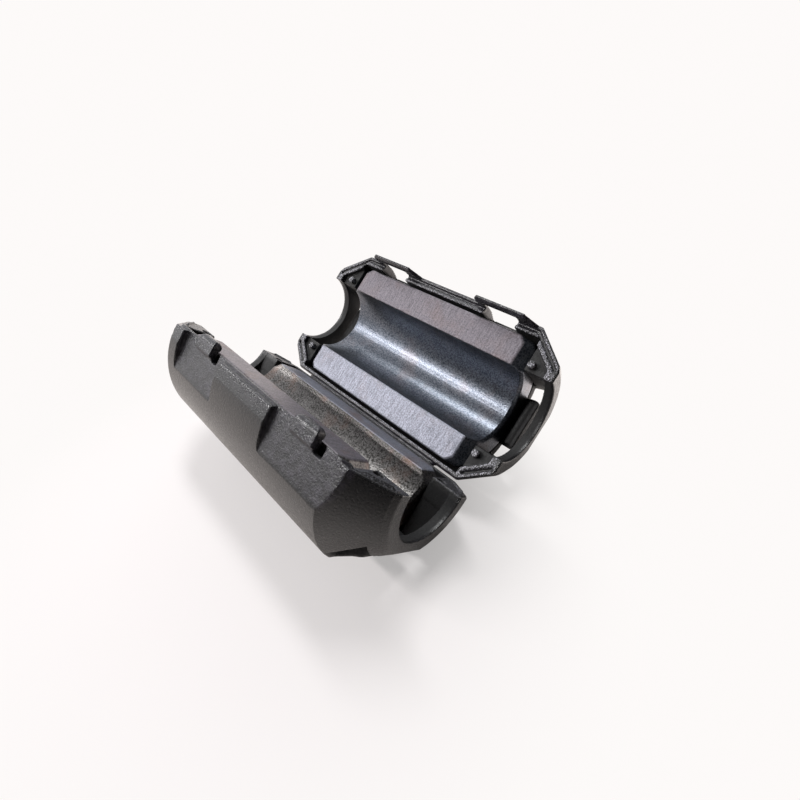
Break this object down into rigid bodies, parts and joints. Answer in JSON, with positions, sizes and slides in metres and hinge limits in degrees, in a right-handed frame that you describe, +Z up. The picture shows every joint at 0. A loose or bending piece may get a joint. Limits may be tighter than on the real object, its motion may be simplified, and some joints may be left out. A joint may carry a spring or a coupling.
{
  "type": "clip-on ferrite bead",
  "caption": "Clip-on ferrite bead lying open: two tapered half shells joined by a film hinge, each with a half ferrite core, closed by snap loops over hooks.",
  "frame": {"origin": "on the ground under the hinge's fold, at mid-length", "axes": "+Z up; Y along the two cable passages and the hinge; +X towards the half with the loops"},
  "size_m": [0.0328, 0.0354, 0.0176],
  "materials": {
    "case_plastic": "fine-grained moulded black",
    "ferrite": "sintered ceramic, ground mating faces and a smooth bore"
  },
  "bodies": {
    "base": {"case_base": "case_plastic", "core_base": "ferrite", "film_hinge": "case_plastic"},
    "lid": {"case_lid": "case_plastic", "core_lid": "ferrite"}
  },
  "joints": [
    {"name": "lid_hinge", "type": "hinge", "parent": "base", "child": "lid", "pos_m": [0, 0, 0.00357], "axis": [0, -1, 0], "range_deg": [-94.4, 85.6]}
  ]
}
